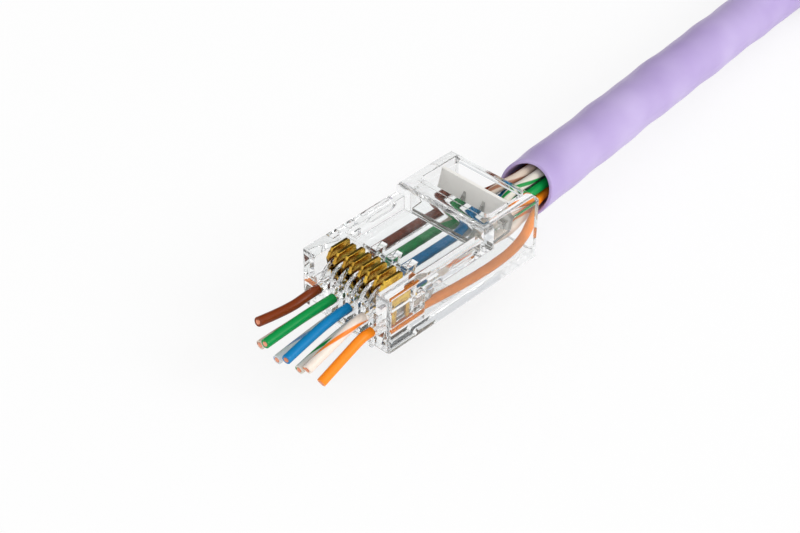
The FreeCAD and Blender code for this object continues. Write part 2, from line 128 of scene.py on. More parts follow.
def noise(tree: bpy.types.NodeTree, vector: bpy.types.NodeSocket, pitch: float,
          detail: float) -> bpy.types.NodeSocket:
    """Add a noise texture.

    Args:
        tree: the node tree that takes it.
        vector: the places that it is read at.
        pitch: the size of its cells, in metres.
        detail: how many octaves it has.

    Returns:
        Its value, about 0 to 1.
    """
    texture = add_node(tree, "ShaderNodeTexNoise", inputs={
        "Vector": vector, "Scale": 1 / pitch, "Detail": detail})
    return texture.outputs["Fac"]


def relief(tree: bpy.types.NodeTree, height: bpy.types.NodeSocket, depth: float,
           strength: float = 1.0) -> bpy.types.NodeSocket:
    """Add a bump.

    Args:
        tree: the node tree that takes it.
        height: the height, 0 to 1.
        depth: the height's range, in metres.
        strength: the share of the bump that shows.

    Returns:
        The bumped normal.
    """
    bump = add_node(tree, "ShaderNodeBump", inputs={
        "Strength": strength, "Distance": depth, "Height": height})
    return bump.outputs["Normal"]


def spread(tree: bpy.types.NodeTree, value: bpy.types.NodeSocket, low: float,
           high: float) -> bpy.types.NodeSocket:
    """Map a value of 0 to 1 onto a range.

    Args:
        tree: the node tree that takes the node.
        value: the value.
        low: what 0 becomes.
        high: what 1 becomes.

    Returns:
        The mapped value.
    """
    mapped = add_node(tree, "ShaderNodeMapRange", inputs={"Value": value, "To Min": low, "To Max": high})
    return mapped.outputs["Result"]


# ---- Finishes ---------------------------------------------------------------------------------
@dataclass(frozen=True)
class Finish:
    """A surface finish, named for the real material.

    Attributes:
        name: name of the Blender material.
    """

    name: str

    def material(self) -> bpy.types.Material:
        """Return the material, building it the first time."""
        found = bpy.data.materials.get(self.name)
        if found is None:
            found = bpy.data.materials.new(self.name)
            found.use_nodes = True
            tree = found.node_tree
            tree.nodes.clear()
            output = add_node(tree, "ShaderNodeOutputMaterial")
            tree.links.new(self.surface(tree), output.inputs["Surface"])
        return found

    def surface(self, tree: bpy.types.NodeTree) -> bpy.types.NodeSocket:
        """Build the shader in the tree and return its output."""
        raise NotImplementedError


@dataclass(frozen=True)
class MouldedPolycarbonate(Finish):
    """Injection-moulded clear polycarbonate.

    Its high index bends light strongly, so edges and walls seen along their length mirror what
    stands beside the plug. Slow waves left by the flow of the melt bend what is seen through it a
    little. Its faces shine less than flat glass does, so the conductors inside keep their colours.
    """

    tint: str = "#FCFDFD"
    index: float = 1.585
    roughness: float = 0.0
    shine: float = 0.3
    clearness: float = 1.0
    flow_wave: float = 1.4 * MM
    flow_depth: float = 0.004 * MM

    def surface(self, tree: bpy.types.NodeTree) -> bpy.types.NodeSocket:
        """Build the shader in the tree and return its output."""
        place = add_node(tree, "ShaderNodeTexCoord")
        flow = noise(tree, place.outputs["Object"], self.flow_wave, 1.0)
        return principled(tree, {
            "Base Color": linear(self.tint), "Roughness": self.roughness, "IOR": self.index,
            "Specular Tint": (self.shine, self.shine, self.shine, 1.0),
            "Transmission Weight": self.clearness, "Normal": relief(tree, flow, self.flow_depth)})


@dataclass(frozen=True)
class PlatedMetal(Finish):
    """Bright metal with the fine straight scratches that stamping and plating leave."""

    base: str = "#F0C653"
    worn: str = "#C99A3E"
    roughness: float = 0.22
    scratch_pitch: float = 0.08 * MM
    scratch_depth: float = 0.002 * MM
    scratch_stretch: float = 0.12
    blotch_pitch: float = 0.9 * MM

    def surface(self, tree: bpy.types.NodeTree) -> bpy.types.NodeSocket:
        """Build the shader in the tree and return its output."""
        place = add_node(tree, "ShaderNodeTexCoord")
        drawn = add_node(tree, "ShaderNodeMapping", inputs={
            "Vector": place.outputs["Object"], "Scale": (1.0, self.scratch_stretch, 1.0)})
        scratches = noise(tree, drawn.outputs["Vector"], self.scratch_pitch, 2.0)
        blotches = noise(tree, place.outputs["Object"], self.blotch_pitch, 3.0)
        colour = add_node(tree, "ShaderNodeValToRGB", inputs={"Fac": blotches})
        set_ramp(colour, ((0.40, self.worn), (0.62, self.base)))
        return principled(tree, {
            "Base Color": colour.outputs["Color"], "Metallic": 1.0,
            "Roughness": spread(tree, scratches, self.roughness * 0.7, self.roughness * 1.5),
            "Normal": relief(tree, scratches, self.scratch_depth)})


@dataclass(frozen=True)
class ConductorInsulation(Finish):
    """Extruded polyethylene insulation: waxy gloss, with a printed line on the white ones.

    The line runs along the conductor and winds slowly round it. It reads the conductor's own UV map,
    where U goes once round and V counts metres along.
    """

    base: str = "#F08018"
    line: str | None = None
    line_width: float = 0.13
    line_winding: float = 14 * MM
    roughness: float = 0.30
    shine: float = 0.3
    index: float = 1.51
    mottle_pitch: float = 0.5 * MM
    mottle_depth: float = 0.003 * MM
    line_blur: float = 0.015

    def surface(self, tree: bpy.types.NodeTree) -> bpy.types.NodeSocket:
        """Build the shader in the tree and return its output."""
        place = add_node(tree, "ShaderNodeTexCoord")
        mottle = noise(tree, place.outputs["Object"], self.mottle_pitch, 2.0)
        colour = add_node(tree, "ShaderNodeHueSaturation", inputs={
            "Color": linear(self.base), "Value": spread(tree, mottle, 0.92, 1.06)})
        painted = colour.outputs["Color"]
        if self.line is not None:
            painted = self.with_line(tree, painted)
        return principled(tree, {
            "Base Color": painted, "Roughness": self.roughness, "IOR": self.index,
            "Specular IOR Level": self.shine, "Subsurface Weight": 0.12,
            "Subsurface Radius": (1.0, 1.0, 1.0), "Subsurface Scale": 0.25 * MM,
            "Normal": relief(tree, mottle, self.mottle_depth)})

    def with_line(self, tree: bpy.types.NodeTree, under: bpy.types.NodeSocket) -> bpy.types.NodeSocket:
        """Lay the printed line over a colour.

        Args:
            tree: the material's node tree.
            under: the colour below the line.

        Returns:
            The mixed colour.
        """
        uv = add_node(tree, "ShaderNodeUVMap")
        parts = add_node(tree, "ShaderNodeSeparateXYZ", inputs={"Vector": uv.outputs["UV"]})
        turn = arithmetic(tree, "MULTIPLY_ADD", parts.outputs["Y"], 1 / self.line_winding,
                          parts.outputs["X"])
        middle = arithmetic(tree, "SUBTRACT", arithmetic(tree, "FRACT", turn), 0.5)
        away = arithmetic(tree, "ABSOLUTE", middle)
        inside = add_node(tree, "ShaderNodeMapRange", inputs={
            "Value": away, "From Min": self.line_width / 2 - self.line_blur,
            "From Max": self.line_width / 2 + self.line_blur, "To Min": 1.0, "To Max": 0.0})
        mixed = add_node(tree, "ShaderNodeMix", {"data_type": "RGBA"}, {
            "Factor": inside.outputs["Result"], 6: under, 7: linear(self.line)})
        return mixed.outputs[2]


@dataclass(frozen=True)
class ExtrudedJacket(Finish):
    """Low-smoke cable jacket: satin, with a fine drawn grain and faint shade changes over its lumps."""

    base: str = "#BFAEDA"
    deep: str = "#B09CCF"
    roughness: float = 0.38
    index: float = 1.52
    shade_pitch: float = 7 * MM
    grain: float = 0.16 * MM
    grain_depth: float = 0.006 * MM

    def surface(self, tree: bpy.types.NodeTree) -> bpy.types.NodeSocket:
        """Build the shader in the tree and return its output."""
        place = add_node(tree, "ShaderNodeTexCoord")
        shade = noise(tree, place.outputs["Object"], self.shade_pitch, 2.0)
        grain = noise(tree, place.outputs["Object"], self.grain, 3.0)
        colour = add_node(tree, "ShaderNodeValToRGB", inputs={"Fac": shade})
        set_ramp(colour, ((0.30, self.deep), (0.70, self.base)))
        rough = spread(tree, grain, self.roughness * 0.85, self.roughness * 1.15)
        return principled(tree, {
            "Base Color": colour.outputs["Color"], "Roughness": rough, "IOR": self.index,
            "Subsurface Weight": 0.08, "Subsurface Scale": 0.5 * MM,
            "Subsurface Radius": (1.0, 0.8, 1.0),
            "Normal": relief(tree, grain, self.grain_depth, strength=0.6)})


@dataclass(frozen=True)
class LoopFabric(Finish):
    """Nylon loop pile of a hook-and-loop tie: dark, dull, finely matted; its loop tops carry painted
    highlight and its hollows painted shade.
    """

    base: str = "#2E2F36"
    # light is the painted highlight colour on the loop tops; base is the pile's dark colour, which also
    # serves as painted shade in the hollows.
    light: str = "#5A5C66"
    pile: float = 0.12 * MM

    def surface(self, tree: bpy.types.NodeTree) -> bpy.types.NodeSocket:
        """Build the shader in the tree and return its output."""
        place = add_node(tree, "ShaderNodeTexCoord")
        loops = add_node(tree, "ShaderNodeTexVoronoi", {"feature": "F1"}, {
            "Vector": place.outputs["Object"], "Scale": 1 / self.pile})
        # Painted highlight and painted shade: the colour is light at the top of each loop and dark in the
        # hollows between loops, where the bump is low.
        colour = add_node(tree, "ShaderNodeValToRGB", inputs={"Fac": loops.outputs["Distance"]})
        set_ramp(colour, ((0.15, self.light), (0.75, self.base)))
        bump = add_node(tree, "ShaderNodeBump", {"invert": True}, {
            "Strength": 1.0, "Distance": 0.05 * MM, "Height": loops.outputs["Distance"]})
        return principled(tree, {
            "Base Color": colour.outputs["Color"], "Roughness": 0.9, "IOR": 1.53,
            "Sheen Weight": 0.4, "Normal": bump.outputs["Normal"]})


@dataclass(frozen=True)
class WhiteSweep(Finish):
    """The white paper sweep that the plug stands on: seen as white, with the plug's soft shadow."""

    paper: str = "#FCFCFC"
    shadow_share: float = 0.20

    def surface(self, tree: bpy.types.NodeTree) -> bpy.types.NodeSocket:
        """Build the shader in the tree and return its output."""
        white = add_node(tree, "ShaderNodeBsdfDiffuse", inputs={"Color": linear(self.paper)})
        glow = add_node(tree, "ShaderNodeEmission", inputs={"Color": linear("#FFFFFF"), "Strength": 1.0})
        seen = mix_shaders(tree, self.shadow_share, glow.outputs["Emission"], white.outputs["BSDF"])
        return mix_shaders(tree, direct_ray(tree), white.outputs["BSDF"], seen)


def direct_ray(tree: bpy.types.NodeTree) -> bpy.types.NodeSocket:
    """Return 1 for camera, glossy and transmission rays that no dull surface has scattered, else 0."""
    path = add_node(tree, "ShaderNodeLightPath").outputs
    gloss = arithmetic(tree, "MAXIMUM", path["Is Glossy Ray"], path["Is Transmission Ray"])
    either = arithmetic(tree, "MAXIMUM", path["Is Camera Ray"], gloss)
    clean = arithmetic(tree, "LESS_THAN", path["Diffuse Depth"], 0.5)
    return arithmetic(tree, "MULTIPLY", either, clean)


# ---- Mesh helpers -----------------------------------------------------------------------------
WELD_DISTANCE = 0.0005 * MM
RIM_ANGLE = math.radians(60)


def place_in_scene(name: str, data: bpy.types.ID) -> bpy.types.Object:
    """Make an object from its data, link it to the scene and return it."""
    thing = bpy.data.objects.new(name, data)
    bpy.context.scene.collection.objects.link(thing)
    return thing


def weld(mesh: bpy.types.Mesh) -> None:
    """Merge the points that lie on each other, so that poles and seams are closed."""
    shape = bmesh.new()
    shape.from_mesh(mesh)
    bmesh.ops.remove_doubles(shape, verts=shape.verts, dist=WELD_DISTANCE)
    bmesh.ops.dissolve_degenerate(shape, edges=shape.edges, dist=WELD_DISTANCE)
    shape.to_mesh(mesh)
    shape.free()


def link_mesh(name: str, points: np.ndarray, faces: np.ndarray, body: str, finish: Finish,
              uv: np.ndarray) -> bpy.types.Object:
    """Make an object from points and faces, dress it and let it ride on a body.

    Args:
        name: the piece's name.
        points: vertex places, one row each, in metres.
        faces: corner indices, four to a row.
        body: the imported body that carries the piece.
        finish: the piece's finish.
        uv: one UV pair for each vertex; U wraps round from 1 to 0.

    Returns:
        The linked object, at the origin.
    """
    mesh = bpy.data.meshes.new(name)
    mesh.from_pydata(points, [], faces)
    corner_points = np.empty(len(mesh.loops), dtype=np.int32)
    mesh.loops.foreach_get("vertex_index", corner_points)
    pairs = uv[corner_points].reshape(-1, 4, 2)
    seam = (pairs[:, :, 0].max(axis=1) - pairs[:, :, 0].min(axis=1)) > 0.5
    pairs[..., 0] += (seam[:, None] & (pairs[..., 0] < 0.5)) * 1.0
    layer = mesh.uv_layers.new(name="along")
    layer.data.foreach_set("uv", pairs.astype(np.float32).ravel())
    weld(mesh)
    mesh.polygons.foreach_set("use_smooth", np.full(len(mesh.polygons), True))
    mesh.set_sharp_from_angle(angle=RIM_ANGLE)
    mesh.materials.append(finish.material())
    mesh.update()
    piece = place_in_scene(name, mesh)
    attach(piece, body)
    return piece


def ring_faces(rings: int, around: int) -> np.ndarray:
    """Return the quads of a closed-round grid of rings.

    Ring i, place j is vertex i * around + j. Each quad joins places j and j + 1 of rings i and i + 1,
    and the last place joins the first, so the grid closes round.

    Args:
        rings: how many rings there are.
        around: how many places each ring has.

    Returns:
        One row of four indices for each quad, facing outwards for rings that run along +Y.
    """
    ring, place = np.meshgrid(np.arange(rings - 1), np.arange(around), indexing="ij")
    following = (place + 1) % around
    low = ring * around
    high = low + around
    return np.stack([low + place, high + place, high + following, low + following], axis=-1).reshape(-1, 4)


def smooth_route(control_points: np.ndarray, spacing: float) -> np.ndarray:
    """Return evenly spaced points of the quadratic NURBS curve of a control polygon.

    The curve starts and ends on the first and last control point and touches each run between at
    its middle. Its points come from an open NURBS spline of order 3, and are then spread evenly by
    interpolating along its running length.

    Args:
        control_points: the route's control points, one row each, in metres.
        spacing: the wanted distance between points, in metres.

    Returns:
        The points, one row each.
    """
    curve = bpy.data.curves.new("route", "CURVE")
    curve.dimensions = "3D"
    spline = curve.splines.new("NURBS")
    spline.points.add(len(control_points) - 1)
    weighted = np.hstack([control_points, np.ones((len(control_points), 1))])
    spline.points.foreach_set("co", weighted.astype(np.float32).ravel())
    spline.order_u = 3
    spline.use_endpoint_u = True
    spline.resolution_u = 24
    holder = bpy.data.objects.new("route", curve)
    traced = bpy.data.meshes.new_from_object(holder)
    points = np.empty(len(traced.vertices) * 3)
    traced.vertices.foreach_get("co", points)
    bpy.data.objects.remove(holder)
    bpy.data.curves.remove(curve)
    bpy.data.meshes.remove(traced)
    points = points.reshape(-1, 3)
    steps = np.linalg.norm(np.diff(points, axis=0), axis=1)
    points = points[np.concatenate([[True], steps > 1e-9])]
    run = running_lengths(points)
    wanted = np.linspace(0.0, run[-1], max(int(round(run[-1] / spacing)), 2) + 1)
    return np.stack([np.interp(wanted, run, points[:, axis]) for axis in range(3)], axis=-1)


def running_lengths(path: np.ndarray) -> np.ndarray:
    """Return the length along a path, up to each of its points."""
    return np.concatenate([[0.0], np.cumsum(np.linalg.norm(np.diff(path, axis=0), axis=1))])


def route_frames(path: np.ndarray) -> tuple[np.ndarray, np.ndarray, np.ndarray]:
    """Return the running length and two crosswise directions at each point of a path.

    The first crosswise direction is level: the path's heading crossed with +Z. The second is the
    first crossed with the heading, so it points up. No path here runs straight up.

    Args:
        path: points, one row each.

    Returns:
        Running lengths, level directions and upward directions.
    """
    heading = np.gradient(path, axis=0)
    heading /= np.linalg.norm(heading, axis=1, keepdims=True)
    level = np.cross(heading, np.array([0.0, 0.0, 1.0]))
    level /= np.linalg.norm(level, axis=1, keepdims=True)
    return running_lengths(path), level, np.cross(level, heading)


def cross_section(heading: np.ndarray) -> tuple[np.ndarray, np.ndarray]:
    """Return the level and the upward unit direction across a unit heading."""
    level = np.cross(heading, (0.0, 0.0, 1.0))
    level /= np.linalg.norm(level)
    return level, np.cross(level, heading)


def unit(vector: np.ndarray) -> np.ndarray:
    """Return a vector at a length of 1."""
    return vector / np.linalg.norm(vector)


def lathe_tube(profile: np.ndarray, path: np.ndarray, radius: float, around: int,
               far_profile: tuple[tuple[float, float], ...] = ((0.0, 0.0),)
               ) -> tuple[np.ndarray, np.ndarray, np.ndarray]:
    """Sweep a round section along a path, with turned rings for its cut ends, as one closed surface.

    The profile's rows are rings placed on the path's first point: (distance along the heading,
    radius). They come before the path's own rings and close the front of the tube. The far
    profile's rows do the same after the last point; by default one ring of no radius closes it.

    Args:
        profile: end rings, one row of (distance, radius) each, in metres.
        path: the path's points, one row each, the first one being the cut end.
        radius: the tube's radius.
        around: places round the section.
        far_profile: rings for the far end, its distances counted from the path's last point.

    Returns:
        The points, the UV pairs (round, along) and the quads.
    """
    heading = unit(path[1] - path[0])
    far_heading = unit(path[-1] - path[-2])
    far = np.array(far_profile)
    spots = np.vstack([path[0] + profile[:, :1] * heading, path[1:], path[-1] + far[:, :1] * far_heading])
    radii = np.concatenate([profile[:, 1], np.full(len(path) - 1, radius), far[:, 1]])
    run, level, upward = route_frames(path)
    use = np.concatenate([np.zeros(len(profile), dtype=int), np.arange(1, len(path)),
                          np.full(len(far), len(path) - 1)])
    angle = np.arange(around) * 2 * math.pi / around
    out = (level[use][:, None, :] * np.cos(angle)[None, :, None]
           + upward[use][:, None, :] * np.sin(angle)[None, :, None])
    points = spots[:, None, :] + radii[:, None, None] * out
    uv = np.stack(np.broadcast_arrays(angle[None, :] / (2 * math.pi), run[use][:, None]), axis=-1)
    return points.reshape(-1, 3), uv.reshape(-1, 2), ring_faces(len(spots), around)


# ---- Housing, latch tab and contacts -----------------------------------------------------------
@dataclass
class SoftenedSolid:
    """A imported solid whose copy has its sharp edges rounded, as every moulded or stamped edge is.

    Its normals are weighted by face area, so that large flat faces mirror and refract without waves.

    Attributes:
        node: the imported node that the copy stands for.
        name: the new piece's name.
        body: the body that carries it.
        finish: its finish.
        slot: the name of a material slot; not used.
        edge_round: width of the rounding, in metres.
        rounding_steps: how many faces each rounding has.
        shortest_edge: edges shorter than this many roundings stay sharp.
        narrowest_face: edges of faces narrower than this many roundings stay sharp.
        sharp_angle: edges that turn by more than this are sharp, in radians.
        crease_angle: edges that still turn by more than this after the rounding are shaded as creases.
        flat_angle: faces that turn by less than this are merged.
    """

    node: str
    name: str
    body: str
    finish: Finish
    slot: str
    edge_round: float
    rounding_steps: int = 2
    shortest_edge: float = 5.0
    narrowest_face: float = 2.5
    sharp_angle: float = math.radians(40)
    crease_angle: float = math.radians(50)
    flat_angle: float = math.radians(0.8)

    def adjust(self, places: np.ndarray) -> np.ndarray:
        """Return the solid's points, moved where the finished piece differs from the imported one."""
        return places

    def dress(self, mesh: bpy.types.Mesh) -> None:
        """Give some faces a second finish; a plain solid has only one."""

    def can_be_rounded(self, edge: bmesh.types.BMEdge) -> bool:
        """Return whether an edge is sharp, long enough and between faces that are wide enough."""
        if edge.calc_face_angle(0.0) <= self.sharp_angle:
            return False
        if edge.calc_length() <= self.shortest_edge * self.edge_round:
            return False
        widths = [2 * face.calc_area() / face.calc_perimeter() for face in edge.link_faces]
        return min(widths) > self.narrowest_face * self.edge_round

    def pierced(self, shape: bmesh.types.BMesh) -> set[bmesh.types.BMEdge]:
        """Return the edges inside the flat faces that have holes.

        Merged into one, such a face would reach its holes by slits, and a rounding turns slits inside
        out. A flat face has holes when its corners, less its edges, plus its triangles are under one.
        """
        kept = set()
        left = set(shape.faces)
        while left:
            front = [left.pop()]
            patch = set(front)
            while front:
                for edge in front.pop().edges:
                    if edge.calc_face_angle(0.0) < self.flat_angle:
                        front += [face for face in edge.link_faces if face not in patch]
                        patch.update(edge.link_faces)
            left -= patch
            edges = {edge for face in patch for edge in face.edges}
            corners = {vert for face in patch for vert in face.verts}
            if len(corners) - len(edges) + len(patch) < 1:
                kept |= {edge for edge in edges if patch.issuperset(edge.link_faces)}
        return kept

    def round_edges(self, shape: bmesh.types.BMesh) -> None:
        """Merge the flat faces of a shape, round its sharp edges and mark the creases that stay."""
        pierced = self.pierced(shape)
        bmesh.ops.dissolve_limit(shape, angle_limit=self.flat_angle, verts=shape.verts,
                                 edges=[edge for edge in shape.edges if edge not in pierced])
        sharp = [edge for edge in shape.edges if self.can_be_rounded(edge)]
        bmesh.ops.bevel(shape, geom=sharp, offset=self.edge_round, offset_type="OFFSET",
                        segments=self.rounding_steps, profile=0.5, affect="EDGES", clamp_overlap=False)
        bmesh.ops.triangulate(shape, faces=[face for face in shape.faces if len(face.verts) > 4])
        for edge in shape.edges:
            edge.smooth = edge.calc_face_angle(0.0) < self.crease_angle

    def refill(self, mesh: bpy.types.Mesh, shape: bmesh.types.BMesh) -> None:
        """Fill a mesh with a shape, always in the same order, and keep its creases.

        Merging and rounding list the same faces in another order on each run. Here the faces are
        in rising order, and each starts at a set corner. A quad turns by two corners or not at
        all, so that its diagonal stays.

        Args:
            mesh: the mesh, which loses what it held.
            shape: the rounded shape.
        """
        shape.verts.index_update()
        faces = []
        for face in shape.faces:
            ring = [vert.index for vert in face.verts]
            stride = 2 if len(ring) == 4 else 1
            start = min(range(0, len(ring), stride), key=ring.__getitem__)
            faces.append(ring[start:] + ring[:start])
        creases = {
            frozenset(vert.index for vert in edge.verts)
            for edge in shape.edges
            if not edge.smooth
        }
        mesh.clear_geometry()
        mesh.from_pydata([vert.co for vert in shape.verts], [], sorted(faces))
        mesh.polygons.foreach_set("use_smooth", np.full(len(mesh.polygons), True))
        for edge in mesh.edges:
            edge.use_edge_sharp = frozenset(edge.vertices) in creases

    def build(self) -> bpy.types.Object:
        """Copy the solid, merge its flat faces and round its edges; return the piece."""
        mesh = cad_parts[self.node].data.copy()
        mesh.name = self.name
        places = np.empty(len(mesh.vertices) * 3)
        mesh.vertices.foreach_get("co", places)
        mesh.vertices.foreach_set("co", self.adjust(places.reshape(-1, 3)).ravel())
        shape = bmesh.new()
        shape.from_mesh(mesh)
        bmesh.ops.remove_doubles(shape, verts=shape.verts, dist=WELD_DISTANCE)
        self.round_edges(shape)
        self.refill(mesh, shape)
        shape.free()
        mesh.materials.clear()
        mesh.materials.append(self.finish.material())
        self.dress(mesh)
        piece = place_in_scene(self.name, mesh)
        weighted = piece.modifiers.new("weighted_normals", "WEIGHTED_NORMAL")
        weighted.keep_sharp = True
        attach(piece, self.body)
        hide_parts(self.node)
        LOG.info("%s: softened copy of %s, %d faces", self.name, self.node, len(mesh.polygons))
        return piece


@dataclass
class CombedHousing(SoftenedSolid):
    """The housing, with low ribs between the contacts and a matt strain-relief flap.

    The ribs stand lower than the comb's rear wall. The flap's broad faces and its top are
    spark-eroded so that it grips, which makes it look greyish white.
    """

    matt_finish: Finish = MouldedPolycarbonate(
        "matt_clear_polycarbonate", "#FFFDF8", roughness=0.45, clearness=0.12)
    flap_front: float = 17.2 * MM
    flap_rear: float = 19.2 * MM
    flap_foot: float = 4.75 * MM
    flap_reach: float = 4.45 * MM
    squarely: float = 0.8
    rib_reach: float = 3.4 * MM
    comb_rear: float = 4.60 * MM
    comb_floor: float = 4.32 * MM
    rib_top: float = 6.50 * MM
    rib_share: float = 0.76

    def adjust(self, places: np.ndarray) -> np.ndarray:
        """Lower the ribs: their heights above the comb's floor shrink by one share."""
        x, y, z = places.T
        in_comb = (np.abs(x) < self.rib_reach) & (y < self.comb_rear)
        on_rib = in_comb & (z > self.comb_floor) & (z < self.rib_top)
        lowered = places.copy()
        lowered[on_rib, 2] = self.comb_floor + (z[on_rib] - self.comb_floor) * self.rib_share
        return lowered

    def dress(self, mesh: bpy.types.Mesh) -> None:
        """Give the broad faces and the top of the strain-relief flap the matt finish."""
        centres = np.empty(len(mesh.polygons) * 3)
        normals = np.empty(len(mesh.polygons) * 3)
        mesh.polygons.foreach_get("center", centres)
        mesh.polygons.foreach_get("normal", normals)
        x, y, z = centres.reshape(-1, 3).T
        facing = normals.reshape(-1, 3)
        broad = (np.abs(facing[:, 1]) > self.squarely) | (facing[:, 2] > self.squarely)
        on_flap = broad & (np.abs(x) < self.flap_reach) & (z > self.flap_foot)
        on_flap &= (y > self.flap_front) & (y < self.flap_rear)
        mesh.materials.append(self.matt_finish.material())
        mesh.polygons.foreach_set("material_index", on_flap.astype(np.int32))


@dataclass
class Blade(SoftenedSolid):
    """A contact, whose front leans back below its curl, so that only the curl shows over the comb."""

    front_reach: float = 1.40 * MM
    curl_foot: float = 5.90 * MM
    blade_foot: float = 4.20 * MM
    lean: float = 0.75 * MM

    def adjust(self, places: np.ndarray) -> np.ndarray:
        """Move the front's lower corner back."""
        _, y, z = places.T
        corner = (y < self.front_reach) & (z < self.curl_foot) & (z > self.blade_foot)
        leaning = places.copy()
        leaning[corner, 1] += self.lean
        return leaning


@dataclass
class PlugShell:
    """The clear moulding: the housing and the latch tab that is one with it."""

    finish: Finish = MouldedPolycarbonate("moulded_clear_polycarbonate")
    housing_edge: float = 0.05 * MM
    tab_edge: float = 0.08 * MM

    def build(self) -> list[bpy.types.Object]:
        """Build the two pieces of the moulding and return them."""
        slot = "clear_polycarbonate"
        housing = CombedHousing("housing", "plug_housing", "plug", self.finish, slot, self.housing_edge)
        tab = SoftenedSolid("latch_tab", "plug_latch_tab", "latch", self.finish, slot, self.tab_edge)
        return [housing.build(), tab.build()]


@dataclass
class ContactRow:
    """The eight gold-plated blade contacts that stand proud of the comb."""

    count: int = 8
    edge_round: float = 0.03 * MM
    finish: Finish = PlatedMetal("gold_plated_phosphor_bronze")

    def build(self) -> list[bpy.types.Object]:
        """Build the contacts and return them."""
        slot = "gold_plated_bronze"
        return [Blade(f"contact_{pin}", f"blade_{pin}", "plug", self.finish, slot, self.edge_round).build()
                for pin in range(1, self.count + 1)]


# ---- Conductors --------------------------------------------------------------------------------
class Wire(Enum):
    """The eight conductors, by the contact that each one lies under."""

    ORANGE = 1
    WHITE_ORANGE = 2
    WHITE_GREEN = 3
    BLUE = 4
    WHITE_BLUE = 5
    GREEN = 6
    WHITE_BROWN = 7
    BROWN = 8

    @property
    def label(self) -> str:
        """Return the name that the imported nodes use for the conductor."""
        return f"pin_{self.value}_{self.name.lower()}"


# The middle of the jacket's cut end behind the plug, in millimetres.
JACKET_MOUTH = (0.45, 26.00, 3.55)
INSULATION_RADIUS = 0.50 * MM
CORE_RADIUS = 0.275 * MM
CORE_PROUD = 0.06 * MM
BARE_COPPER = PlatedMetal("bare_copper", "#F0A486", "#D98C6C", 0.26)
# The white conductors' bases (white-orange, white-green, white-blue and white-brown) are partly their own
# off-white and partly painted shade: they are greyed for the shade that they lie in inside the plug, under
# the coloured ones.
INSULATION = {
    Wire.ORANGE: ConductorInsulation("polyethylene_orange", "#F98D16"),
    Wire.WHITE_ORANGE: ConductorInsulation("polyethylene_white_orange", "#EBDDD0", "#F08120"),
    Wire.WHITE_GREEN: ConductorInsulation("polyethylene_white_green", "#DDD8CC", "#128F40"),
    Wire.BLUE: ConductorInsulation("polyethylene_blue", "#007DB7"),
    Wire.WHITE_BLUE: ConductorInsulation("polyethylene_white_blue", "#D3D7DA", "#7F9CCB"),
    Wire.GREEN: ConductorInsulation("polyethylene_green", "#009445"),
    Wire.WHITE_BROWN: ConductorInsulation("polyethylene_white_brown", "#DCCBBA", "#A8755C"),
    Wire.BROWN: ConductorInsulation("polyethylene_brown", "#80340B"),
}

# Places along each conductor, in millimetres: its cut tip, half way back to the nose, and from its
# bore back to the mouth of the jacket.
FRONT_PLACES = {
    Wire.ORANGE: ((3.51, -6.75, -0.50), (3.56, -3.40, 0.95)),
    Wire.WHITE_ORANGE: ((2.90, -7.98, 1.50), (2.72, -4.00, 2.45)),
    Wire.WHITE_GREEN: ((1.95, -8.09, 1.00), (1.66, -4.00, 1.55)),
    Wire.BLUE: ((1.33, -9.15, 2.50), (0.80, -4.60, 2.95)),
    Wire.WHITE_BLUE: ((-0.38, -8.69, 1.20), (-0.50, -4.40, 1.60)),
    Wire.GREEN: ((-1.29, -9.32, 3.00), (-1.48, -4.60, 3.10)),
    Wire.WHITE_BROWN: ((-2.83, -8.53, 1.50), (-2.66, -4.30, 1.70)),
    Wire.BROWN: ((-3.56, -8.02, 3.60), (-3.62, -4.00, 2.75)),
}
REAR_PLACES = {
    Wire.ORANGE: ((4.15, 12.5, 1.58), (4.20, 18.0, 1.60), (3.75, 21.2, 1.95), (2.75, 23.6, 2.50)),
    Wire.WHITE_ORANGE: ((2.57, 14.5, 3.00), (2.58, 17.4, 2.98), (2.25, 20.4, 2.30), (1.60, 22.9, 2.10)),
    Wire.WHITE_GREEN: ((1.52, 14.5, 1.84), (1.50, 17.0, 1.86), (1.38, 20.2, 3.45), (0.75, 22.9, 4.85)),
    Wire.BLUE: ((0.53, 14.0, 3.05), (0.54, 16.6, 3.06), (0.16, 20.2, 4.56), (-0.36, 22.9, 3.28)),
    Wire.WHITE_BLUE: ((-0.50, 14.5, 1.78), (-0.50, 17.5, 1.76), (-0.35, 20.4, 1.68), (0.10, 22.9, 1.75)),
    Wire.GREEN: ((-1.49, 14.0, 3.05), (-1.48, 16.8, 3.06), (0.05, 20.3, 2.90), (1.00, 22.9, 3.40)),
    Wire.WHITE_BROWN: ((-2.53, 14.0, 1.85), (-2.52, 17.0, 1.86), (-1.68, 20.5, 2.90), (-0.92, 22.9, 4.52)),
    Wire.BROWN: ((-3.55, 14.0, 3.04), (-3.54, 17.2, 3.05), (-2.72, 20.5, 3.62), (-2.00, 22.9, 3.40)),
}
# The conductors in order round the inside of the jacket, from the far side over the top.
MOUTH_ORDER = (Wire.BROWN, Wire.WHITE_BROWN, Wire.WHITE_GREEN, Wire.GREEN, Wire.ORANGE,
               Wire.WHITE_ORANGE, Wire.WHITE_BLUE, Wire.BLUE)


